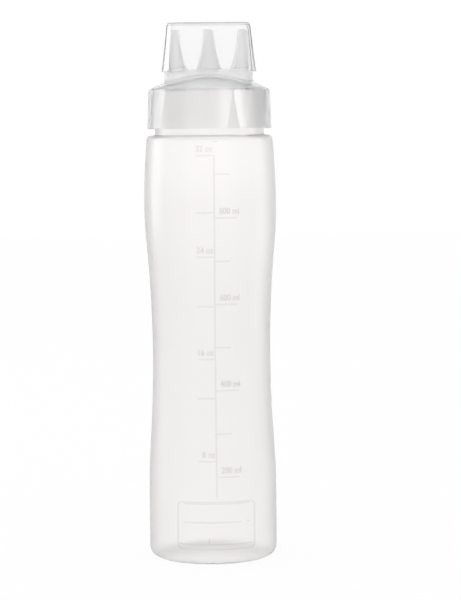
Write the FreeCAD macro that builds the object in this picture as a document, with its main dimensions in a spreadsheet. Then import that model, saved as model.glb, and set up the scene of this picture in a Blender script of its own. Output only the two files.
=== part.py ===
"""A translucent squeeze bottle with a waisted grip, a screw lid that carries three dispensing
nozzles in a row on an oblong platform, and a clear cap that fits over the platform.

Millimetres. +Z is up, the origin is the middle of the bottle's standing ring, and the moulded
scale faces -Y. The bottle, the lid and the cap are each one moulding, so each is one solid.
"""

import FreeCAD, Part
import math
import os

import Sketcher

V = FreeCAD.Vector
# How far a cutting shape reaches past what it cuts, and how near two places count as one.
BEYOND = 5
SAME = 1e-3

# Every driving dimension, in millimetres (angles in degrees, counts as plain numbers).
SIZES = {
    # bottle, outside
    "body_radius": 38.5,            # straight lower wall
    "heel_round": 6.0,              # rounding from the wall into the base
    "ring_width": 3.3,              # the flat standing ring, inside the heel's rounding
    "push_up": 5.0,                 # rise of the domed base at its middle
    "straight_height": 40.0,        # the lower wall is straight up to here
    "lower_turn_height": 67.5,      # the outline changes from bulging out to curving in
    "waist_height": 124.5,
    "waist_radius": 35.5,
    "upper_turn_height": 190.5,     # the outline changes back to bulging out
    "bulge_height": 211.0,
    "bulge_radius": 39.6,
    "shoulder_height": 254.2,
    "shoulder_radius": 37.5,        # where the upper wall would meet the flat shoulder
    "shoulder_round": 3.0,
    "shoulder_step": 5.0,           # the neck stands in from the shoulder radius by this
    "neck_round": 1.0,              # rounding at the neck's root
    "neck_height": 26.0,            # above the shoulder
    # bottle, thicknesses
    "wall": 1.1,
    "floor": 1.3,
    "neck_wall": 1.8,
    # moulded scale and label panel on the bottle's front
    "relief": 0.45,                 # how far the marks stand out of the wall
    "line_width": 1.0,              # the upright line
    "line_foot": 41.2,              # height of the upright line's lower end
    "mark_width": 0.9,
    "mark_short": 9.5,
    "mark_long": 13.5,
    "mark_ounce": 10.5,
    "scale_zero": 1.9,              # height at which the scale would read nothing
    "mark_pitch": 25.5,             # height of 100 ml on the scale
    "ounce_ratio": 1.183,           # 4 fl oz in units of 100 ml
    "shoulder_mark": 2.4,           # length of the small mark below the shoulder
    "panel_half_width": 23.2,
    "panel_bottom": 9.4,
    "panel_top": 38.4,
    "panel_round": 3.0,
    "panel_line_foot": 12.8,        # heights of the two writing lines
    "panel_line_middle": 25.9,
    "panel_line_half": 19.5,
    "panel_gap_start": 14.6,        # the middle line is broken between these two
    "panel_gap_end": 18.0,
    # lid
    "lid_turn": -3.5,               # where the screwed-down lid stops, about +Z
    "lid_lift": 3.8,                # height of the lid's rim above the bottle's shoulder
    "seat_gap": 0.1,                # between faces that rest on each other
    "thread_room": 2.4,             # radial, between the neck and the skirt's rim
    "skirt_wall": 2.3,
    "skirt_draft": 0.95,            # the skirt is this much narrower at its top
    "skirt_top_rise": 0.9,          # skirt's top edge above the sealing land inside
    "skirt_round": 2.4,
    "lid_wall": 1.8,
    "seal_inset": 1.4,              # the sealing land reaches this far inside the neck's bore
    # the oblong platform under the nozzles, long across the lid, on the lid's domed top
    "dome_rise": 9.0,               # the dome's middle above the skirt's top edge
    "platform_ledge": 2.4,          # platform's edge outside the nozzles' feet
    "platform_corner": 9.0,         # rounding of its corners, seen from above
    "platform_rise": 11.6,          # platform's top above the skirt's top edge
    "platform_foot": 2.5,           # rounding from the dome into the platform's wall
    "platform_edge": 0.5,
    # shallow flats round the skirt, for the fingers
    "flat_count": 16,
    "flat_depth_top": 0.68,
    "flat_depth_rim": 0.10,
    # nozzles
    "nozzle_pitch": 20.4,
    "nozzle_height": 24.0,          # above the platform
    "nozzle_tip_radius": 2.9,
    "nozzle_tip_round": 0.5,
    "nozzle_flank_radius": 80.0,    # the flanks are slightly hollow
    "nozzle_foot_round": 3.0,
    "nozzle_foot_radius": 9.6,
    "nozzle_foot_sink": 0.1,        # the foot's rounding dips this far below the platform's top
    "nozzle_wall": 1.2,
    "nozzle_bore_radius": 1.5,
    "nozzle_bore_foot": 5.5,
    "outer_flank_margin": 0.2,      # a cone about the lid's axis trims the outer nozzles' flanks
    "outer_flank_draft": 0.6,
    # clear cap
    "cap_clearance": 0.15,          # radial, between the cap's lip and the platform's edge
    "cap_lip": 0.9,                 # how far the lip reaches down past the platform's top
    "cap_lip_wall": 1.55,
    "cap_wall": 1.4,
    "cap_ledge": 1.1,               # width of the inner ledge that rests on the platform
    "cap_headroom": 2.6,            # above the nozzles' tips
    "cap_flank_gap": 0.1,           # beside the outer tips, at the cap's ceiling
    "cap_round": 1.0,
}

# Labelled marks every 8 fl oz on the left and every 200 ml on the right, with one between.
MILLILITRE_MARKS = range(200, 1000, 100)
OUNCE_MARKS = range(8, 36, 4)
# Some ounce marks stand off their even place, by this many millimetres.
OUNCE_MARK_SHIFT = {12: 7.0, 20: 1.0, 28: -4.2, 32: -1.1}


class Size:
    """A length with its value and the spreadsheet expression that it comes from."""

    def __init__(self, value, text=None):
        self.value = float(value)
        self.text = text if text else repr(float(value))

    def _join(self, other, sign, value):
        other = other if isinstance(other, Size) else Size(other)
        return Size(value(self.value, other.value), f"({self.text} {sign} {other.text})")

    def __add__(self, other):
        return self._join(other, "+", lambda a, b: a + b)

    def __sub__(self, other):
        return self._join(other, "-", lambda a, b: a - b)

    def __mul__(self, other):
        return self._join(other, "*", lambda a, b: a * b)

    def __truediv__(self, other):
        return self._join(other, "/", lambda a, b: a / b)

    def __neg__(self):
        return Size(0) - self


ZERO = Size(0)


def size(name):
    """The named driving dimension."""
    return Size(SIZES[name], f"Sizes.{name}")


def ring_radius():
    """Inner edge of the ring that the bottle stands on."""
    return size("body_radius") - size("heel_round") - size("ring_width")


def neck_radius():
    return size("shoulder_radius") - size("shoulder_step")


def skirt_rim_radius():
    return neck_radius() + size("thread_room") + size("skirt_wall")


def skirt_top_radius():
    return skirt_rim_radius() - size("skirt_draft")


def outer_flank_top():
    """Radius of the cone that trims the outer nozzles, at its top."""
    return size("nozzle_pitch") + size("nozzle_tip_radius") + size("outer_flank_margin")


def outer_flank_foot():
    return outer_flank_top() + size("outer_flank_draft")


def platform_half_length():
    return outer_flank_foot() + size("platform_ledge")


def platform_outline(grown):
    """Half length, half width and corner radius of the platform's outline, grown outwards."""
    half_width = size("nozzle_foot_radius") + size("platform_ledge")
    return platform_half_length() + grown, half_width + grown, size("platform_corner") + grown


def make_sheet(doc):
    sheet = doc.addObject("Spreadsheet::Sheet", "Sizes")
    for row, (name, value) in enumerate(SIZES.items(), start=1):
        sheet.set(f"A{row}", name)
        sheet.set(f"B{row}", str(value))
        sheet.setAlias(f"B{row}", name)
    doc.recompute()


def bind(item, path, length):
    """Tie a property or a sketch constraint to the spreadsheet."""
    item.setExpression(path, length.text)


class Outline:
    """A closed outline in a sketch, drawn corner by corner.

    A coordinate given as a Size is dimensioned and bound to the sheet. One given as a plain
    number is a first guess, which the arcs' own conditions then settle.
    """

    def __init__(self, sketch, x, z):
        self.sketch = sketch
        self.first = None
        self.last = None
        self.corner = (x, z)
        self.start = (x, z)

    def _constrain(self, *terms):
        return self.sketch.addConstraint(Sketcher.Constraint(*terms))

    def _dimension(self, kind, geometry, point, length):
        axis = {"DistanceX": -2, "DistanceY": -1}[kind]
        if length.value == 0:
            self._constrain("PointOnObject", geometry, point, axis)
            return
        index = self._constrain(kind, -1, 1, geometry, point, length.value)
        bind(self.sketch, f"Constraints[{index}]", length)

    def _place(self, geometry, point, corner):
        for kind, value in zip(("DistanceX", "DistanceY"), corner):
            if isinstance(value, Size):
                self._dimension(kind, geometry, point, value)

    def _attach(self, geometry, begin, end, corner):
        """Join a new segment to the last one and dimension its far corner."""
        if self.last is None:
            self.first = (geometry, begin)
            self._place(geometry, begin, self.start)
        else:
            self._constrain("Coincident", *self.last, geometry, begin)
        if corner is None:
            self._constrain("Coincident", geometry, end, *self.first)
        else:
            self._place(geometry, end, corner)
        self.last = (geometry, end)

    @staticmethod
    def _point(corner):
        return V(*(c.value if isinstance(c, Size) else c for c in corner), 0)

    def line_to(self, x, z):
        begin, end = self._point(self.corner), self._point((x, z))
        geometry = self.sketch.addGeometry(Part.LineSegment(begin, end))
        self._attach(geometry, 1, 2, (x, z))
        self.corner = (x, z)

    def close(self):
        begin, end = self._point(self.corner), self._point(self.start)
        geometry = self.sketch.addGeometry(Part.LineSegment(begin, end))
        self._attach(geometry, 1, 2, None)

    def arc_to(self, x, z, centre, level=None, plumb=None, radius=None, smooth=False):
        """An arc about centre, which is only drawn there.

        level or plumb names the end ("begin" or "end") whose height or radius the centre
        shares, radius is a Size, and smooth makes the arc tangent to the segment before it.
        """
        begin, end = self._point(self.corner), self._point((x, z))
        middle = V(*centre, 0)
        angle_begin = math.atan2(begin.y - middle.y, begin.x - middle.x)
        angle_end = math.atan2(end.y - middle.y, end.x - middle.x)
        circle = Part.Circle(middle, V(0, 0, 1), (begin - middle).Length)
        anticlockwise = (angle_end - angle_begin) % math.tau <= math.pi
        if anticlockwise:
            arc, ends = Part.ArcOfCircle(circle, angle_begin, angle_end), (1, 2)
        else:
            arc, ends = Part.ArcOfCircle(circle, angle_end, angle_begin), (2, 1)
        before = self.last
        geometry = self.sketch.addGeometry(arc)
        self._attach(geometry, *ends, (x, z))
        if smooth:
            self.sketch.delConstraint(self._coincidence(before, geometry))
            self._constrain("Tangent", *before, geometry, ends[0])
        which = {"begin": ends[0], "end": ends[1]}
        if level:
            self._constrain("Horizontal", geometry, 3, geometry, which[level])
        if plumb:
            self._constrain("Vertical", geometry, 3, geometry, which[plumb])
        if radius:
            index = self._constrain("Radius", geometry, radius.value)
            bind(self.sketch, f"Constraints[{index}]", radius)
        self.corner = (x, z)

    def upright_axis(self, x, bottom, top):
        """An upright construction line to turn the outline about."""
        ends = (x, bottom), (x, top)
        line = Part.LineSegment(*(self._point(end) for end in ends))
        geometry = self.sketch.addGeometry(line, True)
        for point, end in enumerate(ends, start=1):
            self._place(geometry, point, end)

    def _coincidence(self, before, geometry):
        """The index of the coincidence that joined geometry to the segment before it."""
        for index, constraint in enumerate(self.sketch.Constraints):
            pair = (constraint.First, constraint.Second)
            if constraint.Type == "Coincident" and pair == (before[0], geometry):
                return index
        raise ValueError("the two segments aren't joined")


def centre_level(near, far):
    """Centre of the arc through both points that stands upright at near."""
    rise = far[1] - near[1]
    run = far[0] - near[0]
    return (near[0] + (run * run + rise * rise) / (2 * run), near[1])


def origin_feature(body, role):
    return next(f for f in body.Origin.OriginFeatures if f.Role == role)


def new_body(doc, name):
    return doc.addObject("PartDesign::Body", name)


def new_sketch(body, name, plane="XZ_Plane"):
    sketch = body.newObject("Sketcher::SketchObject", name)
    sketch.AttachmentSupport = [(origin_feature(body, plane), "")]
    sketch.MapMode = "FlatFace"
    return sketch


def turn(body, sketch, cut=False, axis="V_Axis"):
    """Revolve a sketch all the way round its upright axis, adding to the body or cutting it."""
    kind = "Groove" if cut else "Revolution"
    feature = body.newObject(f"PartDesign::{kind}", f"{sketch.Name}_turned")
    feature.Profile = (sketch, [""])
    feature.ReferenceAxis = (sketch, [axis])
    feature.Angle = 360
    sketch.Document.recompute()
    return feature


def ring_edges(shape, radius, height):
    """Names of the round edges about Z with this radius at this height."""
    names = []
    for index, edge in enumerate(shape.Edges, start=1):
        if edge.Degenerated or not isinstance(edge.Curve, Part.Circle):
            continue
        curve = edge.Curve
        centred = math.hypot(curve.Center.x, curve.Center.y) < SAME
        level = abs(curve.Center.z - height) < SAME
        if centred and level and abs(curve.Radius - radius) < SAME:
            names.append(f"Edge{index}")
    if not names:
        raise ValueError(f"no round edge of radius {radius} at height {height}")
    return names


def round_edges(body, name, edges, rounding):
    """Round these edges of the body's last feature."""
    fillet = body.newObject("PartDesign::Fillet", name)
    fillet.Base = (fillet.BaseFeature, edges)
    bind(fillet, "Radius", rounding)
    body.Document.recompute()


def round_ring(body, name, radius, height, rounding):
    """Round the edge about Z that has this radius and height."""
    round_edges(body, name, ring_edges(body.Tip.Shape, radius.value, height.value), rounding)


def edges_round_face(shape, height):
    """Names of the outer edges of the level face at this height."""
    names = []
    for face in shape.Faces:
        box = face.BoundBox
        if max(abs(box.ZMin - height), abs(box.ZMax - height)) > SAME:
            continue
        names += [f"Edge{index}" for index, edge in enumerate(shape.Edges, start=1)
                  if any(edge.isSame(other) for other in face.OuterWire.Edges)]
    if not names:
        raise ValueError(f"no level face at height {height}")
    return names


def edges_between(shape, low, high):
    """Names of the edges that lie wholly between two heights."""
    return [f"Edge{index}" for index, edge in enumerate(shape.Edges, start=1)
            if not edge.Degenerated
            and edge.BoundBox.ZMin > low + SAME and edge.BoundBox.ZMax < high - SAME]


def oblong_sketch(body, name, height, outline):
    """A level rounded rectangle about Z, from its half length, half width and corner radius."""
    sketch = new_sketch(body, name, plane="XY_Plane")
    sketch.AttachmentOffset = FreeCAD.Placement(V(0, 0, height.value), FreeCAD.Rotation())
    bind(sketch, "AttachmentOffset.Base.z", height)
    half_length, half_width, corner = outline
    rounded_rectangle(sketch, half_length, -half_width, half_width, corner)
    return sketch


def oblong_pad(body, name, bottom, top, outline, lean=None):
    """An oblong block from bottom to top, whose sides may stand in by lean at its top."""
    pad = body.newObject("PartDesign::Pad", name)
    pad.Profile = (oblong_sketch(body, f"{name}_outline", bottom, outline), [""])
    bind(pad, "Length", top - bottom)
    body.Document.recompute()
    if lean is None:
        return
    sides, foot = [], []
    for index, face in enumerate(pad.Shape.Faces, start=1):
        if face.BoundBox.ZLength > SAME:
            sides.append(f"Face{index}")
        elif face.BoundBox.ZMin < bottom.value + SAME:
            foot.append(f"Face{index}")
    draft = body.newObject("PartDesign::Draft", f"{name}_draft")
    draft.Base = (pad, sides)
    draft.NeutralPlane = (pad, foot)
    slope = lean / (top - bottom)
    bind(draft, "Angle", Size(math.degrees(math.atan(slope.value)), f"atan({slope.text})"))
    body.Document.recompute()


# ---------------------------------------------------------------------------------- bottle


def wall_outline(outline, inset):
    """Draw the bottle's waisted side upwards, from the straight wall to the shoulder."""

    def turning_radius(low, high, turn_height, from_low):
        """The outline's inflection lies on the straight line between two upright points."""
        share = (size(turn_height) - size(low[1])) / (size(high[1]) - size(low[1]))
        return from_low + (size(high[0]) - size(low[0])) * share

    body = size("body_radius") - inset
    waist = size("waist_radius") - inset
    bulge = size("bulge_radius") - inset
    lower_turn = turning_radius(
        ("body_radius", "straight_height"), ("waist_radius", "waist_height"),
        "lower_turn_height", body)
    upper_turn = turning_radius(
        ("waist_radius", "waist_height"), ("bulge_radius", "bulge_height"),
        "upper_turn_height", waist)
    upright = [
        (body, size("straight_height")),
        (lower_turn, size("lower_turn_height")),
        (waist, size("waist_height")),
        (upper_turn, size("upper_turn_height")),
        (bulge, size("bulge_height")),
        (size("shoulder_radius") - inset, size("shoulder_height") - inset),
    ]
    stands_at = ["begin", "end", "begin", "end", "begin"]
    for low, high, upright_end in zip(upright, upright[1:], stands_at):
        low_point = (low[0].value, low[1].value)
        high_point = (high[0].value, high[1].value)
        if upright_end == "begin":
            centre = centre_level(low_point, high_point)
        else:
            centre = centre_level(high_point, low_point)
        outline.arc_to(*high, centre, level=upright_end)


def domed_base(outline, ring, foot, rise):
    """Draw the base from the axis out to the standing ring's inner edge."""
    half_chord = ring.value
    drop = (half_chord ** 2 - rise.value ** 2) / (2 * rise.value)
    outline.arc_to(ring, foot, (0, foot.value - drop), plumb="begin")


def bottle_body(doc, name, inset, floor, neck_inset, neck_extra):
    """The bottle's outside, or the space inside it when the insets aren't nothing."""
    body = new_body(doc, name)
    sketch = new_sketch(body, f"{name}_outline")
    heel = size("body_radius") - inset
    shoulder = size("shoulder_height") - inset
    neck = neck_radius() - neck_inset
    neck_top = size("shoulder_height") + size("neck_height") + neck_extra
    outline = Outline(sketch, ZERO, size("push_up") + floor)
    domed_base(outline, ring_radius(), floor, size("push_up"))
    outline.line_to(heel, floor)
    outline.line_to(heel, size("straight_height"))
    wall_outline(outline, inset)
    outline.line_to(neck, shoulder)
    outline.line_to(neck, neck_top)
    outline.line_to(ZERO, neck_top)
    outline.close()
    turn(body, sketch)
    round_ring(body, f"{name}_heel", heel, floor, size("heel_round") - inset)
    round_ring(body, f"{name}_shoulder", size("shoulder_radius") - inset, shoulder,
               size("shoulder_round") - inset)
    round_ring(body, f"{name}_neck_root", neck, shoulder, size("neck_round") + inset / 2)
    return body


def relief_skin(doc):
    """A thin skin along the wall, proud of it by the relief, from which the marks are cut."""
    body = new_body(doc, "relief_skin")
    sketch = new_sketch(body, "relief_skin_outline")
    proud = -size("relief")
    sunk = size("wall") / 2
    bottom = size("heel_round")
    top = size("shoulder_height") - proud
    outline = Outline(sketch, size("body_radius") - proud, bottom)
    outline.line_to(size("body_radius") - proud, size("straight_height"))
    wall_outline(outline, proud)
    outline.line_to(ZERO, top)
    outline.line_to(ZERO, bottom)
    outline.close()
    turn(body, sketch)
    core_sketch = new_sketch(body, "relief_core_outline")
    core = Outline(core_sketch, size("body_radius") - sunk, bottom)
    core.line_to(size("body_radius") - sunk, size("straight_height"))
    wall_outline(core, sunk)
    core.line_to(size("shoulder_radius") - sunk, top)
    core.line_to(ZERO, top)
    core.line_to(ZERO, bottom)
    core.close()
    turn(body, core_sketch, cut=True)
    return body


def bar(doc, name, left, right, bottom, top):
    """A bar that reaches out of the bottle's front, from y = 0, over these limits."""
    box = doc.addObject("Part::Box", name)
    reach = size("bulge_radius") + BEYOND
    bind(box, "Length", right - left)
    bind(box, "Height", top - bottom)
    bind(box, "Width", reach)
    bind(box, "Placement.Base.x", left)
    bind(box, "Placement.Base.y", -reach)
    bind(box, "Placement.Base.z", bottom)
    return box


def level_bar(doc, name, left, right, height):
    half = size("mark_width") / 2
    return bar(doc, name, left, right, height - half, height + half)


def panel_frame(doc):
    """The label panel's border: a rounded rectangle with a smaller one cut out of it."""
    body = new_body(doc, "panel_frame")
    reach = size("bulge_radius") + BEYOND
    for name, inset in (("panel_outside", ZERO), ("panel_inside", size("mark_width"))):
        sketch = new_sketch(body, f"{name}_outline")
        rounding = size("panel_round") - inset
        side = size("panel_half_width") - inset
        rounded_rectangle(sketch, side, size("panel_bottom") + inset,
                          size("panel_top") - inset, rounding)
        kind = "Pad" if inset is ZERO else "Pocket"
        feature = body.newObject(f"PartDesign::{kind}", name)
        feature.Profile = (sketch, [""])
        bind(feature, "Length", reach)
        feature.Reversed = kind == "Pocket"
        doc.recompute()
    return body


def rounded_rectangle(sketch, side, bottom, top, rounding):
    """A rectangle from -side to side whose corners are quarter circles."""
    corners = [
        (side, bottom, -1, 1), (side, top, -1, -1), (-side, top, 1, -1), (-side, bottom, 1, 1)]
    outline = Outline(sketch, side - rounding, bottom)
    for index, (x, z, inward_x, inward_z) in enumerate(corners):
        on_level = (x + rounding * inward_x, z)
        on_upright = (x, z + rounding * inward_z)
        centre = (on_level[0].value, on_upright[1].value)
        if index % 2 == 0:
            if index:
                outline.line_to(*on_level)
            outline.arc_to(*on_upright, centre, level="end")
        else:
            outline.line_to(*on_upright)
            outline.arc_to(*on_level, centre, plumb="end")
    outline.close()


def ounce_height(volume):
    """Height of the mark for this many fluid ounces."""
    four_ounces = size("mark_pitch") * size("ounce_ratio")
    return size("scale_zero") + four_ounces * (volume / 4) + OUNCE_MARK_SHIFT.get(volume, 0)


def scale_marks(doc):
    """The upright line with its ounce marks on the left and millilitre marks on the right."""
    half_line = size("line_width") / 2
    line_top = ounce_height(max(OUNCE_MARKS)) + size("mark_width") / 2
    marks = [bar(doc, "scale_line", -half_line, half_line, size("line_foot"), line_top)]
    for volume in MILLILITRE_MARKS:
        length = size("mark_long") if volume % 200 == 0 else size("mark_short")
        height = size("scale_zero") + size("mark_pitch") * (volume / 100)
        marks.append(level_bar(doc, f"mark_ml_{volume}", ZERO, length, height))
    for volume in OUNCE_MARKS:
        marks.append(level_bar(doc, f"mark_oz_{volume}", -size("mark_ounce"), ZERO,
                               ounce_height(volume)))
    below_shoulder = size("shoulder_height") - size("shoulder_round") - size("mark_width")
    marks.append(level_bar(doc, "mark_shoulder", ZERO, size("shoulder_mark"), below_shoulder))
    return marks


def panel_lines(doc):
    """The label panel's border, its thick top bar and its writing lines."""
    half = size("panel_line_half")
    edge = size("panel_half_width") - size("mark_width") / 2
    top = size("panel_top")
    return [
        panel_frame(doc),
        bar(doc, "panel_bar", -half, half, top - size("mark_width") * 2, top),
        level_bar(doc, "panel_foot_line", -edge, edge, size("panel_line_foot")),
        level_bar(doc, "panel_line", -half, size("panel_gap_start"), size("panel_line_middle")),
        level_bar(doc, "panel_dash", size("panel_gap_end"), half, size("panel_line_middle")),
    ]


def make_bottle(doc):
    outside = bottle_body(doc, "bottle_outside", ZERO, ZERO, ZERO, ZERO)
    inside = bottle_body(doc, "bottle_inside", size("wall"), size("floor"), size("neck_wall"),
                         size("neck_wall"))
    shell = doc.addObject("Part::Cut", "bottle_shell")
    shell.Base, shell.Tool = outside, inside
    pattern = doc.addObject("Part::MultiFuse", "relief_pattern")
    pattern.Shapes = scale_marks(doc) + panel_lines(doc)
    relief = doc.addObject("Part::Common", "relief_marks")
    relief.Base, relief.Tool = relief_skin(doc), pattern
    bottle = doc.addObject("Part::Fuse", "bottle")
    bottle.Base, bottle.Tool = shell, relief
    return bottle


# ------------------------------------------------------------------------------------- lid


def lid_heights():
    """Heights of the lid's rim, skirt top, platform top, sealing land and nozzle tips."""
    rim = size("shoulder_height") + size("lid_lift")
    land = size("shoulder_height") + size("neck_height") + size("seat_gap")
    skirt_top = land + size("skirt_top_rise")
    platform = skirt_top + size("platform_rise")
    tip = platform + size("nozzle_height")
    return rim, skirt_top, platform, land, tip


def circles_meet(centre_a, radius_a, centre_b, radius_b):
    """The upper one of the two points where two circles cross."""
    gap = math.dist(centre_a, centre_b)
    along = (radius_a ** 2 - radius_b ** 2 + gap ** 2) / (2 * gap)
    across = math.sqrt(radius_a ** 2 - along ** 2)
    unit = [(b - a) / gap for a, b in zip(centre_a, centre_b)]
    foot = [a + along * u for a, u in zip(centre_a, unit)]
    points = [(foot[0] - side * across * unit[1], foot[1] + side * across * unit[0])
              for side in (1, -1)]
    return max(points, key=lambda point: point[1])


def nozzle_row(body, name, profile):
    """Turn a nozzle's profile about its own axis and repeat it across the lid."""
    body.AllowCompound = True
    sketch = new_sketch(body, name)
    pitch = size("nozzle_pitch")
    outline = profile(sketch, pitch)
    outline.upright_axis(pitch, *lid_heights()[2::2])
    turned = turn(body, sketch, axis="Axis0")
    row = body.newObject("PartDesign::LinearPattern", f"{name}_row")
    row.Originals = [turned]
    row.Direction = (sketch, ["H_Axis"])
    row.Reversed = True
    bind(row, "Length", pitch * 2)
    row.Occurrences = 3
    body.Tip = row
    body.Document.recompute()


def nozzle_outside(sketch, pitch):
    """A tapered nozzle with slightly hollow flanks, flared into the platform at its foot."""
    platform, tip = lid_heights()[2], lid_heights()[4]
    buried = platform - size("lid_wall") / 2
    flare = size("nozzle_foot_round")
    flank = size("nozzle_flank_radius")
    tip_round = size("nozzle_tip_round")
    tip_side = pitch + size("nozzle_tip_radius")
    foot = pitch + size("nozzle_foot_radius")
    foot_height = platform - size("nozzle_foot_sink")
    flare_centre = (foot.value, (foot_height + flare).value)
    shoulder = (tip_side.value, (tip - tip_round).value)
    flank_centre = circles_meet(shoulder, flank.value, flare_centre, (flank - flare).value)
    reach = flare.value / (flank - flare).value
    junction = [f + (f - c) * reach for f, c in zip(flare_centre, flank_centre)]
    outline = Outline(sketch, pitch, buried)
    outline.line_to(pitch, tip)
    outline.line_to(tip_side - tip_round, tip)
    outline.arc_to(tip_side, tip - tip_round,
                   ((tip_side - tip_round).value, (tip - tip_round).value), plumb="begin")
    outline.arc_to(*junction, flank_centre, radius=flank)
    outline.arc_to(foot, foot_height, flare_centre, plumb="end", radius=flare, smooth=True)
    outline.line_to(foot, buried)
    outline.close()
    return outline


def nozzle_inside(sketch, pitch):
    """The tapered bore of a nozzle, open at its tip."""
    platform, tip = lid_heights()[2], lid_heights()[4]
    ceiling = platform - size("lid_wall")
    below = ceiling - size("lid_wall")
    top = tip + size("nozzle_wall")
    outline = Outline(sketch, pitch, below)
    outline.line_to(pitch, top)
    outline.line_to(pitch + size("nozzle_bore_radius"), top)
    outline.line_to(pitch + size("nozzle_bore_radius"), tip - size("nozzle_tip_radius"))
    outline.line_to(pitch + size("nozzle_bore_foot"), ceiling)
    outline.line_to(pitch + size("nozzle_bore_foot"), below)
    outline.close()
    return outline


def trim_outer_flanks(body, name, inset, bottom):
    """Cut back whatever stands outside a steep cone about the lid's axis, above bottom."""
    top = lid_heights()[4] + size("nozzle_wall") * 2
    beyond = skirt_rim_radius()
    sketch = new_sketch(body, name)
    outline = Outline(sketch, outer_flank_foot() - inset, bottom)
    outline.line_to(outer_flank_top() - inset, top)
    outline.line_to(beyond, top)
    outline.line_to(beyond, bottom)
    outline.close()
    turn(body, sketch, cut=True)


def cut_flats(body):
    """Shallow flats round the skirt, deeper at the top than at the rim.

    The nozzles' row stands over an edge between two flats, so the first flat is half a flat on.
    """
    rim, skirt_top, platform = lid_heights()[:3]
    beyond = skirt_rim_radius() + BEYOND
    at_top = skirt_top_radius() - size("flat_depth_top")
    at_rim = skirt_rim_radius() - size("flat_depth_rim")
    sketch = new_sketch(body, "flat_outline")
    half_flat = Size(180) / size("flat_count")
    sketch.AttachmentOffset = FreeCAD.Placement(
        V(0, 0, 0), FreeCAD.Rotation(V(0, 1, 0), half_flat.value))
    bind(sketch, "AttachmentOffset.Rotation.Angle", half_flat)
    outline = Outline(sketch, at_rim, rim)
    outline.line_to(at_top, skirt_top)
    outline.line_to(at_top, platform)
    outline.line_to(beyond, platform)
    outline.line_to(beyond, rim)
    outline.close()
    flat = body.newObject("PartDesign::Pocket", "flat")
    flat.Profile = (sketch, [""])
    flat.Midplane = True
    bind(flat, "Length", skirt_rim_radius())
    body.Document.recompute()
    ring = body.newObject("PartDesign::PolarPattern", "flats")
    ring.Originals = [flat]
    ring.Axis = (sketch, ["V_Axis"])
    ring.Angle = 360
    bind(ring, "Occurrences", size("flat_count"))
    body.Tip = ring
    body.Document.recompute()


def dome_to_axis(outline, edge, foot, rise):
    """Draw a dome from its edge, at the height foot, up to the axis."""
    radius = (edge.value ** 2 + rise.value ** 2) / (2 * rise.value)
    outline.arc_to(ZERO, foot + rise, (0, (foot + rise).value - radius), plumb="end")


def lid_outside(doc):
    rim, skirt_top, platform = lid_heights()[:3]
    body = new_body(doc, "lid_outside")
    nozzle_row(body, "nozzle_outline", nozzle_outside)
    trim_outer_flanks(body, "nozzle_trim", ZERO, platform - size("lid_wall"))
    oblong_pad(body, "platform", skirt_top, platform, platform_outline(ZERO))
    sketch = new_sketch(body, "lid_outline")
    outline = Outline(sketch, ZERO, rim)
    outline.line_to(skirt_rim_radius(), rim)
    outline.line_to(skirt_top_radius(), skirt_top)
    dome_to_axis(outline, skirt_top_radius(), skirt_top, size("dome_rise"))
    outline.close()
    turn(body, sketch)
    foot_edges = edges_between(body.Tip.Shape, skirt_top.value, platform.value)
    round_edges(body, "platform_foot", foot_edges, size("platform_foot"))
    round_edges(body, "platform_rounding", edges_round_face(body.Tip.Shape, platform.value),
                size("platform_edge"))
    round_ring(body, "skirt_rounding", skirt_top_radius(), skirt_top, size("skirt_round"))
    cut_flats(body)
    return body


def lid_inside(doc):
    """The space inside the lid: round the neck, under the platform and up the nozzles."""
    rim, skirt_top, platform, land = lid_heights()[:4]
    wall = size("lid_wall")
    bore = neck_radius() - size("neck_wall") - size("seal_inset")
    under = platform - wall
    body = new_body(doc, "lid_inside")
    nozzle_row(body, "bore_outline", nozzle_inside)
    trim_outer_flanks(body, "bore_trim", size("nozzle_wall"), under - wall * 2)
    oblong_pad(body, "platform_inside", land, under, platform_outline(-wall))
    sketch = new_sketch(body, "lid_inside_outline")
    outline = Outline(sketch, ZERO, rim - wall)
    outline.line_to(skirt_rim_radius() - size("skirt_wall"), rim - wall)
    outline.line_to(skirt_rim_radius() - size("skirt_wall"), rim)
    outline.line_to(skirt_top_radius() - size("skirt_wall"), land)
    outline.line_to(bore, land)
    dome_to_axis(outline, bore, land, skirt_top + size("dome_rise") - wall - land)
    outline.close()
    turn(body, sketch)
    return body


def make_lid(doc):
    lid = doc.addObject("Part::Cut", "lid")
    lid.Base, lid.Tool = lid_outside(doc), lid_inside(doc)
    bind(lid, "Placement.Rotation.Angle", size("lid_turn"))
    return lid


# ------------------------------------------------------------------------------------- cap


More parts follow.
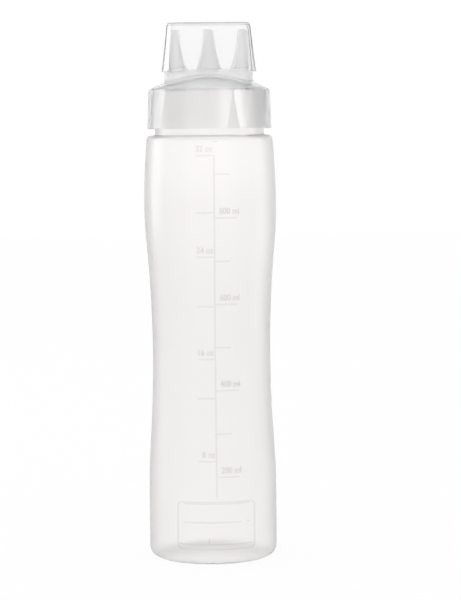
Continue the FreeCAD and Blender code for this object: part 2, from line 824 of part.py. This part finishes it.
def make_cap(doc):
    """A tapered oblong box, open below, whose lip fits over the platform's edge."""
    platform, tip = lid_heights()[2], lid_heights()[4]
    wall = size("cap_wall")
    rim = platform - size("cap_lip")
    ledge = platform + size("seat_gap")
    ceiling = tip + size("cap_headroom")
    # How far each of the cap's outlines stands outside the platform's.
    lip_inside = size("cap_clearance")
    lip_outside = lip_inside + size("cap_lip_wall")
    ledge_inside = lip_inside - size("cap_ledge")
    outer_tip_side = size("nozzle_pitch") + size("nozzle_tip_radius")
    ceiling_inside = outer_tip_side + size("cap_flank_gap") - platform_half_length()
    outside = new_body(doc, "cap_outside")
    oblong_pad(outside, "cap_block", rim, ceiling + wall, platform_outline(lip_outside),
               lip_outside - ceiling_inside - wall)
    round_edges(outside, "cap_rounding",
                edges_round_face(outside.Tip.Shape, (ceiling + wall).value), size("cap_round"))

    space = new_body(doc, "cap_space")
    oblong_pad(space, "cap_room", ledge, ceiling, platform_outline(ledge_inside),
               ledge_inside - ceiling_inside)
    round_edges(space, "cap_ceiling_rounding",
                edges_round_face(space.Tip.Shape, ceiling.value), size("cap_round") / 2)
    oblong_pad(space, "lip_room", rim - wall, ledge, platform_outline(lip_inside))

    cap = doc.addObject("Part::Cut", "nozzle_cap")
    cap.Base, cap.Tool = outside, space
    bind(cap, "Placement.Rotation.Angle", size("lid_turn"))
    return cap


def check(doc, parts):
    """Stop unless every object recomputed and every part is one sound solid."""
    for item in doc.Objects:
        if "Invalid" in item.State or "Error" in item.State:
            raise RuntimeError(f"{item.Name} did not recompute: {item.State}")
        if item.isDerivedFrom("PartDesign::Feature") and not item.Shape.isValid():
            raise RuntimeError(f"{item.Name} has an invalid shape")
    for part in parts:
        shape = part.Shape
        sound = not shape.isNull() and shape.isValid() and shape.Volume > 0
        if not sound or len(shape.Solids) != 1:
            raise RuntimeError(f"{part.Label} is not one valid solid")


def main():
    doc = FreeCAD.newDocument("squeeze_bottle")
    make_sheet(doc)
    parts = [make_bottle(doc), make_lid(doc), make_cap(doc)]
    doc.recompute()
    check(doc, parts)
    os.makedirs("parts", exist_ok=True)
    for part in parts:
        part.Shape.exportStep(f"parts/{part.Label}.step")
        print(f"{part.Label}: {part.Shape.Volume / 1000:.2f} cm3")


main()
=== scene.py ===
import math

import bmesh
import bpy
from mathutils import Matrix, Vector
from mathutils.bvhtree import BVHTree


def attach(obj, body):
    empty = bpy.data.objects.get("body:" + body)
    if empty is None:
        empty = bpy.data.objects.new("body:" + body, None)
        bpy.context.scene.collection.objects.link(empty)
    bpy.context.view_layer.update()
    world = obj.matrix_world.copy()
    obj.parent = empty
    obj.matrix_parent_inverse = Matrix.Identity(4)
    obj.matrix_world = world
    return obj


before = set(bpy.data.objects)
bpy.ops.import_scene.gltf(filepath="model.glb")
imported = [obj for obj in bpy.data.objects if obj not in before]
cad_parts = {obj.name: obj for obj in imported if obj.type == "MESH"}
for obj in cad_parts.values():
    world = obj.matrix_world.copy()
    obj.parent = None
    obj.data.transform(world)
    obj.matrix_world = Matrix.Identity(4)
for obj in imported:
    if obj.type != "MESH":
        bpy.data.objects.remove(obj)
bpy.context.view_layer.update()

MM = 0.001

# The camera stands a little to the left of the front, looks down and leans a little.
CAMERA_DISTANCE = 1260 * MM
CAMERA_HEIGHT = 255 * MM
CAMERA_TURN = math.radians(3.5)
CAMERA_AIM_HEIGHT = 154.7 * MM
CAMERA_AIM_RIGHT = 11.7 * MM
CAMERA_ROLL = math.radians(-0.53)
CAMERA_LENS = 125.6


def make_camera():
    data = bpy.data.cameras.new("camera")
    data.lens = CAMERA_LENS
    camera = bpy.data.objects.new("camera", data)
    bpy.context.scene.collection.objects.link(camera)
    toward = Vector((-math.sin(CAMERA_TURN), -math.cos(CAMERA_TURN), 0))
    right = Vector((math.cos(CAMERA_TURN), -math.sin(CAMERA_TURN), 0))
    camera.location = toward * CAMERA_DISTANCE + Vector((0, 0, CAMERA_HEIGHT))
    aim = right * CAMERA_AIM_RIGHT + Vector((0, 0, CAMERA_AIM_HEIGHT))
    look = (aim - camera.location).to_track_quat("-Z", "Y").to_matrix()
    camera.rotation_euler = (look @ Matrix.Rotation(CAMERA_ROLL, 3, "Z")).to_euler()
    bpy.context.scene.camera = camera


class Nodes:
    """Short hand for a node tree."""

    def __init__(self, tree):
        self.tree = tree
        tree.nodes.clear()

    def add(self, kind, inputs=None, **settings):
        node = self.tree.nodes.new(kind)
        for name, value in settings.items():
            setattr(node, name, value)
        for name, value in (inputs or {}).items():
            if isinstance(value, bpy.types.NodeSocket):
                self.tree.links.new(value, node.inputs[name])
            else:
                node.inputs[name].default_value = value
        return node


def material(name):
    made = bpy.data.materials.new(name)
    made.use_nodes = True
    return made, Nodes(made.node_tree)


def seen_directly(nodes):
    """1 for a ray from the camera, a mirror or through glass."""
    path = nodes.add("ShaderNodeLightPath")
    first = nodes.add("ShaderNodeMath", {0: path.outputs["Is Camera Ray"],
                                         1: path.outputs["Is Glossy Ray"]}, operation="MAXIMUM")
    return nodes.add("ShaderNodeMath", {0: first.outputs[0],
                                        1: path.outputs["Is Transmission Ray"]},
                     operation="MAXIMUM").outputs[0]


def make_world():
    """White at strength 1 for every kind of ray, so that glass shows the background too."""
    world = bpy.data.worlds.new("studio")
    bpy.context.scene.world = world
    world.use_nodes = True
    nodes = Nodes(world.node_tree)
    white = nodes.add("ShaderNodeBackground", {"Color": (1, 1, 1, 1), "Strength": 1.0})
    nodes.add("ShaderNodeOutputWorld", {"Surface": white.outputs[0]})


# The cards' sizes are in metres, and their greys are shares of the light.
CARD_DISTANCE = 3.5
CARD_LONG = 6.1
CARD_TALL = 3.5
RIGHT_CARD_GREY = 0.5
LEFT_CARD_GREY = 0.66


def make_card(name, side, grey):
    """A grey studio card beside the object, out of the picture, that darkens the plastic's edges."""
    bpy.ops.mesh.primitive_plane_add(size=1, location=(side * CARD_DISTANCE, 0, CARD_TALL / 2),
                                     rotation=(0, math.radians(90), 0))
    card = bpy.context.object
    card.name = name
    card.scale = (CARD_TALL, CARD_LONG, 1)
    made, nodes = material(name)
    flat = nodes.add("ShaderNodeBsdfDiffuse", {"Color": (grey, grey, grey, 1)})
    nodes.add("ShaderNodeOutputMaterial", {"Surface": flat.outputs[0]})
    card.data.materials.append(made)


FLOOR_SIZE = 8
FLOOR_GREY = 0.95
FLOOR_GAP = 0.1 * MM
FLOOR_WHITE_SHARE = 0.93


def make_floor():
    """A floor that is seen nearly white and still keeps a little of the object's shadow."""
    bpy.ops.mesh.primitive_plane_add(size=FLOOR_SIZE, location=(0, 0, -FLOOR_GAP))
    floor = bpy.context.object
    floor.name = "floor"
    made, nodes = material("floor")
    diffuse = nodes.add("ShaderNodeBsdfDiffuse", {"Color": (FLOOR_GREY, FLOOR_GREY, FLOOR_GREY, 1)})
    white = nodes.add("ShaderNodeEmission", {"Strength": 1.0})
    share = nodes.add("ShaderNodeMath", {0: seen_directly(nodes), 1: FLOOR_WHITE_SHARE},
                      operation="MULTIPLY")
    mix = nodes.add("ShaderNodeMixShader", {0: share.outputs[0]})
    nodes.tree.links.new(diffuse.outputs[0], mix.inputs[1])
    nodes.tree.links.new(white.outputs[0], mix.inputs[2])
    nodes.add("ShaderNodeOutputMaterial", {"Surface": mix.outputs[0]})
    floor.data.materials.append(made)


GLINT_DISTANCE = 1.6
GLINT_HEIGHT = 0.27             # height in the skirt at which the glint is aimed
GLINT_TALL = 1.0
BOTTLE_MIDDLE = Vector((0, 0, 0.16))


def soft_box(name, place, target, width, tall, radiance):
    """A rectangular lamp, sizes in metres, that looks from its place at the target."""
    data = bpy.data.lights.new(name, "AREA")
    data.shape = "RECTANGLE"
    data.size, data.size_y = width, tall
    data.energy = radiance * math.pi * width * tall
    lamp = bpy.data.objects.new(name, data)
    bpy.context.scene.collection.objects.link(lamp)
    lamp.location = place
    lamp.rotation_euler = (target - lamp.location).to_track_quat("-Z", "Y").to_euler()


def place_round(azimuth, distance, height):
    """The place this many degrees to the right of the camera, seen from the bottle."""
    angle = math.radians(azimuth) + math.radians(-90) - CAMERA_TURN
    return Vector((distance * math.cos(angle), distance * math.sin(angle), height))


def surface_of(mesh):
    """The mesh as a tree that rays can be cast at."""
    points = [vertex.co.copy() for vertex in mesh.vertices]
    return BVHTree.FromPolygons(points, [tuple(face.vertices) for face in mesh.polygons])


def glint_strip(name, item, azimuth, width, radiance):
    """A narrow soft box placed so that the camera sees it in the skirt at this azimuth."""
    angle = math.radians(azimuth)
    outward = Vector((math.sin(angle), -math.cos(angle), 0))
    start = outward * GLINT_DISTANCE + Vector((0, 0, GLINT_HEIGHT))
    place, normal = surface_of(item.data).ray_cast(start, -outward)[:2]
    view = (place - bpy.context.scene.camera.location).normalized()
    soft_box(name, place + view.reflect(normal) * GLINT_DISTANCE, place, width, GLINT_TALL,
             radiance)


# ------------------------------------------------------------------------------ the plastics

NOISE_LOW, NOISE_HIGH = 0.3, 0.7        # most of a noise's values lie between these
ROUGHNESS_SCALE = 2.2
BEVEL_SAMPLES = 4
GRAIN_SCALE = 900
GRAIN_STRENGTH = 0.25
PARTING_HEIGHT = 3.0            # in heights of the grain
PARTING_HALF_WIDTH = 0.1 * MM
PARTING_REACH = 0.35 * MM
BOTTLE_TINT = (1.0, 0.989, 0.985)
PLAIN_TINT = (1.0, 1.0, 1.0)
UPRIGHT_FLOW = (30, 30, 9)      # the clouds are drawn out upwards
EVEN_FLOW = (45, 45, 45)
HALF_GREY = (0.5, 0.5, 0.5, 1)
# Painted shade by height, in mm and shares: the bottle's colour is darkest at the waist, darker near
# the foot and not darkened towards the neck
BOTTLE_PAINTED_SHADE_BY_HEIGHT = [(0, 0.99), (9, 0.965), (120, 0.955), (150, 0.955), (205, 0.974), (240, 1.0),
                    (252, 1.0), (300, 1.0)]


def soft_noise(nodes, where, scale, low, high, detail=3.0):
    """A noise spread over low to high."""
    noise = nodes.add("ShaderNodeTexNoise", {"Vector": where, "Scale": scale, "Detail": detail})
    spread = nodes.add("ShaderNodeMapRange", {"Value": noise.outputs["Fac"], "From Min": NOISE_LOW,
                                              "From Max": NOISE_HIGH, "To Min": low,
                                              "To Max": high})
    return spread.outputs["Result"]


def with_parting_line(nodes, place, height):
    """Adds the fine ridge where the two mould halves met, on the left and the right."""
    axes = nodes.add("ShaderNodeSeparateXYZ", {0: place})
    off = nodes.add("ShaderNodeMath", {0: axes.outputs["Y"]}, operation="ABSOLUTE")
    ridge = nodes.add("ShaderNodeMapRange", {
        "Value": off.outputs[0], "From Min": PARTING_HALF_WIDTH, "From Max": PARTING_REACH,
        "To Min": PARTING_HEIGHT, "To Max": 0.0}, interpolation_type="SMOOTHSTEP")
    return nodes.add("ShaderNodeMath", {0: height, 1: ridge.outputs[0]}, operation="ADD").outputs[0]


def by_height(nodes, place, stops):
    """A grey that runs from stop to stop, each a height in mm and a value."""
    top = stops[-1][0]
    axes = nodes.add("ShaderNodeSeparateXYZ", {0: place})
    share = nodes.add("ShaderNodeMapRange", {"Value": axes.outputs["Z"], "From Max": top * MM})
    ramp = nodes.add("ShaderNodeValToRGB", {"Fac": share.outputs[0]})
    ramp.color_ramp.interpolation = "EASE"
    marks = ramp.color_ramp.elements
    while len(marks) < len(stops):
        marks.new(0.5)
    for mark, (height, value) in zip(marks, stops):
        mark.position = height / top
        mark.color = (value, value, value, 1)
    return ramp.outputs["Color"]


def plastic(name, tint, light, dark, roughness, flow, ior, coat, coat_roughness, absorption=0,
            seam=False, bevel=0.0, grain=0.04, painted_shade_by_height=None):
    """A moulded translucent plastic, cloudy along the flow of its melt.

    light and dark are how much of the light a wall lets through in its clear and cloudy places,
    and painted_shade_by_height is painted shade that darkens the colour by height. grain and
    bevel are in millimetres. The bottle and lid are given a lower refraction index than real
    polyethylene has: the true one traps light at the edges and shows them far darker than in
    the photo.
    """
    made, nodes = material(name)
    place = nodes.add("ShaderNodeNewGeometry").outputs["Position"]
    along_flow = nodes.add("ShaderNodeVectorMath", {0: place, 1: flow}, operation="MULTIPLY")
    cloud = soft_noise(nodes, along_flow.outputs[0], 1.0, 0.0, 1.0)
    colour = nodes.add("ShaderNodeMix", {"Factor": cloud}, data_type="RGBA")
    colour.inputs[6].default_value = tuple(light * part for part in tint) + (1,)
    colour.inputs[7].default_value = tuple(dark * part for part in tint) + (1,)
    shade = colour.outputs[2]
    # the painted shade by height multiplies the colour
    if painted_shade_by_height:
        shade = nodes.add("ShaderNodeVectorMath", {0: shade, 1: by_height(nodes, place, painted_shade_by_height)},
                          operation="MULTIPLY").outputs[0]
    rough = soft_noise(nodes, along_flow.outputs[0], ROUGHNESS_SCALE, *roughness)
    height = soft_noise(nodes, place, GRAIN_SCALE, 0.0, 1.0, detail=2.0)
    if seam:
        height = with_parting_line(nodes, place, height)
    bump = nodes.add("ShaderNodeBump", {"Height": height, "Strength": GRAIN_STRENGTH,
                                        "Distance": grain * MM})
    if bevel:
        rounded = nodes.add("ShaderNodeBevel", {"Radius": bevel * MM},
                            samples=BEVEL_SAMPLES)
        nodes.tree.links.new(rounded.outputs[0], bump.inputs["Normal"])
    shader = nodes.add("ShaderNodeBsdfPrincipled", {
        "Base Color": shade, "Roughness": rough, "IOR": ior,
        "Transmission Weight": 1.0, "Coat Weight": coat, "Coat Roughness": coat_roughness,
        "Normal": bump.outputs[0]})
    surfaces = {"Surface": shader.outputs[0]}
    if absorption:
        volume = nodes.add("ShaderNodeVolumeAbsorption", {
            "Color": HALF_GREY, "Density": 2 * absorption})
        surfaces["Volume"] = volume.outputs[0]
    nodes.add("ShaderNodeOutputMaterial", surfaces)
    return made


def make_plastics():
    bottle = dict(tint=BOTTLE_TINT, roughness=(0.278, 0.31), flow=UPRIGHT_FLOW, ior=1.16, coat=0.25,
                  coat_roughness=0.16, seam=True, painted_shade_by_height=BOTTLE_PAINTED_SHADE_BY_HEIGHT)
    return {
        "bottle": plastic("bottle_plastic", light=1.0, dark=0.988, **bottle),
        # painted shade: the raised marks, figures and panel bar are moulded in the bottle's own
        # plastic; their darker colour here stands in for the shade their relief shows
        "marks": plastic("mark_plastic_painted_shade", light=0.83, dark=0.81, **bottle),
        "lid": plastic("lid_plastic", tint=PLAIN_TINT, light=0.92, dark=0.905,
                       roughness=(0.45, 0.53), flow=EVEN_FLOW, ior=1.1,
                       coat=0.7, coat_roughness=0.05, bevel=0.3),
        "nozzle_cap": plastic("cap_plastic", tint=PLAIN_TINT, light=0.995, dark=0.985,
                              roughness=(0.08, 0.12), flow=EVEN_FLOW, ior=1.45,
                              coat=0.0, coat_roughness=0.03, absorption=8, grain=0.02),
    }


def dress(item, *finishes):
    item.data.materials.clear()
    for finish in finishes:
        item.data.materials.append(finish)


# ------------------------------------------------------------------------- the bottle's wall


FAR = 0.5
RELIEF_LEAST = 0.25 * MM
SCALE_FOOT = 45 * MM
TICK_SPREAD = 3 * MM
OUNCE_TICK_REACH = 8 * MM
LABELLED_TICK_REACH = 11 * MM


class Wall:
    """The bottle's outside as a surface of revolution, read from the model's plain back."""

    def __init__(self, mesh):
        self.tree = surface_of(mesh)

    def radius(self, height):
        hit = self.tree.ray_cast(Vector((0, FAR, height)), Vector((0, -1, 0)))[0]
        return hit.y if hit else 0.0

    def underside(self, x, y):
        return self.tree.ray_cast(Vector((x, y, -FAR)), Vector((0, 0, 1)))[0]

    def in_front(self, x, height, proud):
        """The place in front at this x and height, that far out of the wall."""
        radius = self.radius(height)
        angle = math.asin(x / radius)
        reach = radius + proud
        return Vector((reach * math.sin(angle), -reach * math.cos(angle), height))


def relief_points(wall, mesh):
    """Indexes of the vertices that stand proud of the wall, in front."""
    proud = set()
    for vertex in mesh.vertices:
        x, y, z = vertex.co
        if y < 0 and math.hypot(x, y) > wall.radius(z) + RELIEF_LEAST:
            proud.add(vertex.index)
    return proud


def tick_heights(mesh, proud, reaches):
    """Heights of the scale's ticks whose far ends answer to reaches(x), lowest first."""
    heights = sorted(mesh.vertices[index].co.z for index in proud
                     if mesh.vertices[index].co.z > SCALE_FOOT
                     and reaches(mesh.vertices[index].co.x))
    groups = [[heights[0]]]
    for height in heights[1:]:
        if height - groups[-1][-1] > TICK_SPREAD:
            groups.append([])
        groups[-1].append(height)
    return [sum(group) / len(group) for group in groups]


# ------------------------------------------------------------------------------- new pieces


def add_piece(name, mesh, finish):
    piece = bpy.data.objects.new(name, mesh)
    bpy.context.scene.collection.objects.link(piece)
    dress(piece, finish)
    for face in mesh.polygons:
        face.use_smooth = False
    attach(piece, "root")
    return piece


def mesh_of(name, build):
    shape = bmesh.new()
    build(shape)
    bmesh.ops.recalc_face_normals(shape, faces=shape.faces)
    mesh = bpy.data.meshes.new(name)
    shape.to_mesh(mesh)
    shape.free()
    return mesh


LABEL_SIZE = 5.2 * MM
LABEL_NARROWING = 0.84
LABEL_RISE = 2.3 * MM
LABEL_PROUD = 0.35 * MM
LABEL_SUNK = 0.12 * MM
LABEL_BEVEL = 0.06 * MM
LABEL_WELD = 0.005 * MM
MILLILITRE_START = 2.8 * MM
OUNCE_END = -0.8 * MM
MILLILITRE_STEP = 200
OUNCE_STEP = 8


def label_shape(text, align):
    """The text as a flat mesh, across in x, up in y and thick in z."""
    curve = bpy.data.curves.new("label", "FONT")
    curve.body = text
    curve.size = LABEL_SIZE
    curve.align_x = align
    curve.extrude = 0.5 * LABEL_PROUD
    curve.bevel_depth = LABEL_BEVEL
    curve.bevel_resolution = 1
    curve.resolution_u = 4
    item = bpy.data.objects.new("label", curve)
    bpy.context.scene.collection.objects.link(item)
    bpy.context.view_layer.update()
    mesh = bpy.data.meshes.new_from_object(item)
    bpy.data.objects.remove(item)
    return mesh


def make_numbers(wall, ounces, millilitres, finish):
    """Plain numbers over the long right ticks and over every other left tick.

    The photo shows where the labels stand but not what they say, so the figures are inferred.
    """
    labels = [(f"{MILLILITRE_STEP * (index + 1)} ml", height, "LEFT", MILLILITRE_START)
              for index, height in enumerate(millilitres)]
    labels += [(f"{OUNCE_STEP * (index + 1)} oz", height, "RIGHT", OUNCE_END)
               for index, height in enumerate(ounces[::2])]

    def build(shape):
        for text, height, align, start in labels:
            flat = label_shape(text, align)
            first = len(shape.verts)
            shape.from_mesh(flat)
            bpy.data.meshes.remove(flat)
            shape.verts.ensure_lookup_table()
            thick = max(vertex.co.z for vertex in shape.verts[first:])
            for vertex in shape.verts[first:]:
                share = (vertex.co.z + thick) / (2 * thick)
                proud = -LABEL_SUNK + share * (LABEL_PROUD + LABEL_SUNK)
                vertex.co = wall.in_front(start + vertex.co.x * LABEL_NARROWING,
                                          height + LABEL_RISE + vertex.co.y, proud)
        bmesh.ops.remove_doubles(shape, verts=shape.verts, dist=LABEL_WELD)

    add_piece("scale_numbers", mesh_of("scale_numbers", build), finish)


def strip(shape, rings):
    """Joins closed rings of vertices one after another, and shuts both ends."""
    made = [[shape.verts.new(point) for point in ring] for ring in rings]
    for near, far in zip(made, made[1:]):
        for index in range(len(near)):
            after = (index + 1) % len(near)
            shape.faces.new((near[index], near[after], far[after], far[index]))
    shape.faces.new(made[0])
    shape.faces.new(made[-1])


PINCH_HALF_LENGTH = 20 * MM
PINCH_HALF_WIDTH = 0.5 * MM
PINCH_PROUD = 0.5 * MM
PINCH_SUNK = 0.15 * MM
PINCH_STEPS = 40
PINCH_RUN_OUT = 4               # steps over which each end runs out
PINCH_LEAST = 0.1               # share of the height left at the very end
PINCH_CREST = 0.4               # share of the width that is flat


def make_pinch_off(wall, finish):
    """The ridge that the blow mould leaves under the base, along the parting line."""

    def build(shape):
        rings = []
        for step in range(PINCH_STEPS + 1):
            x = PINCH_HALF_LENGTH * (2 * step / PINCH_STEPS - 1)
            level = wall.underside(x, 0).z
            run_out = min(1.0, step / PINCH_RUN_OUT, (PINCH_STEPS - step) / PINCH_RUN_OUT)
            low = level - PINCH_PROUD * max(run_out, PINCH_LEAST)
            high = level + PINCH_SUNK
            crest = PINCH_CREST * PINCH_HALF_WIDTH
            rings.append([(x, -PINCH_HALF_WIDTH, high), (x, -crest, low),
                          (x, crest, low), (x, PINCH_HALF_WIDTH, high)])
        strip(shape, rings)

    add_piece("pinch_off", mesh_of("pinch_off", build), finish)


PANEL_TICK_X = -4.7 * MM
PANEL_TICK_FOOT = 12.9 * MM
PANEL_TICK_TOP = 16.4 * MM
PANEL_TICK_HALF_WIDTH = 0.4 * MM
PANEL_TICK_PROUD = 0.4 * MM
PANEL_TICK_SUNK = 0.12 * MM
PANEL_TICK_END = 0.3 * MM       # length and drop of the rounding at each end
PANEL_TICK_SIDE = 0.1 * MM


def make_panel_tick(wall, finish):
    """The short upright bar on the panel's lowest line."""
    left, right = PANEL_TICK_X - PANEL_TICK_HALF_WIDTH, PANEL_TICK_X + PANEL_TICK_HALF_WIDTH

    def build(shape):
        rings = []
        for height in (PANEL_TICK_FOOT, PANEL_TICK_FOOT + PANEL_TICK_END,
                       PANEL_TICK_TOP - PANEL_TICK_END, PANEL_TICK_TOP):
            inside = PANEL_TICK_FOOT < height < PANEL_TICK_TOP
            crest = PANEL_TICK_PROUD - (0.0 if inside else PANEL_TICK_END)
            rings.append([wall.in_front(left, height, -PANEL_TICK_SUNK),
                          wall.in_front(left + PANEL_TICK_SIDE, height, crest),
                          wall.in_front(right - PANEL_TICK_SIDE, height, crest),
                          wall.in_front(right, height, -PANEL_TICK_SUNK)])
        strip(shape, rings)

    add_piece("panel_tick", mesh_of("panel_tick", build), finish)


# ---------------------------------------------------------------------------------- the scene

bpy.context.scene.view_settings.view_transform = "Standard"
make_camera()
make_world()
make_floor()
make_card("right_card", 1, RIGHT_CARD_GREY)
make_card("left_card", -1, LEFT_CARD_GREY)
soft_box("left_box", place_round(azimuth=-110, distance=1.6, height=0.5), BOTTLE_MIDDLE,
         width=0.9, tall=1.4, radiance=2.0)

PLASTICS = make_plastics()
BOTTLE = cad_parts["bottle"]
WALL = Wall(BOTTLE.data)
PROUD = relief_points(WALL, BOTTLE.data)
dress(BOTTLE, PLASTICS["bottle"], PLASTICS["marks"])
# the raised faces take the marks' plastic, which carries painted shade
for face in BOTTLE.data.polygons:
    face.material_index = int(all(index in PROUD for index in face.vertices))
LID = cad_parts["lid"]
dress(LID, PLASTICS["lid"])
dress(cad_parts["nozzle_cap"], PLASTICS["nozzle_cap"])
glint_strip("band_strip", LID, azimuth=12.8, width=14 * MM, radiance=7.0)
glint_strip("edge_strip", LID, azimuth=25.2, width=7 * MM, radiance=20.0)
glint_strip("left_strip", LID, azimuth=-55.5, width=7 * MM, radiance=3.0)

OUNCE_TICKS = tick_heights(BOTTLE.data, PROUD, lambda x: x < -OUNCE_TICK_REACH)
MILLILITRE_TICKS = tick_heights(BOTTLE.data, PROUD, lambda x: x > LABELLED_TICK_REACH)
# the figures and the panel bar take the marks' plastic, which carries painted shade
make_numbers(WALL, OUNCE_TICKS, MILLILITRE_TICKS, PLASTICS["marks"])
make_panel_tick(WALL, PLASTICS["marks"])
make_pinch_off(WALL, PLASTICS["bottle"])
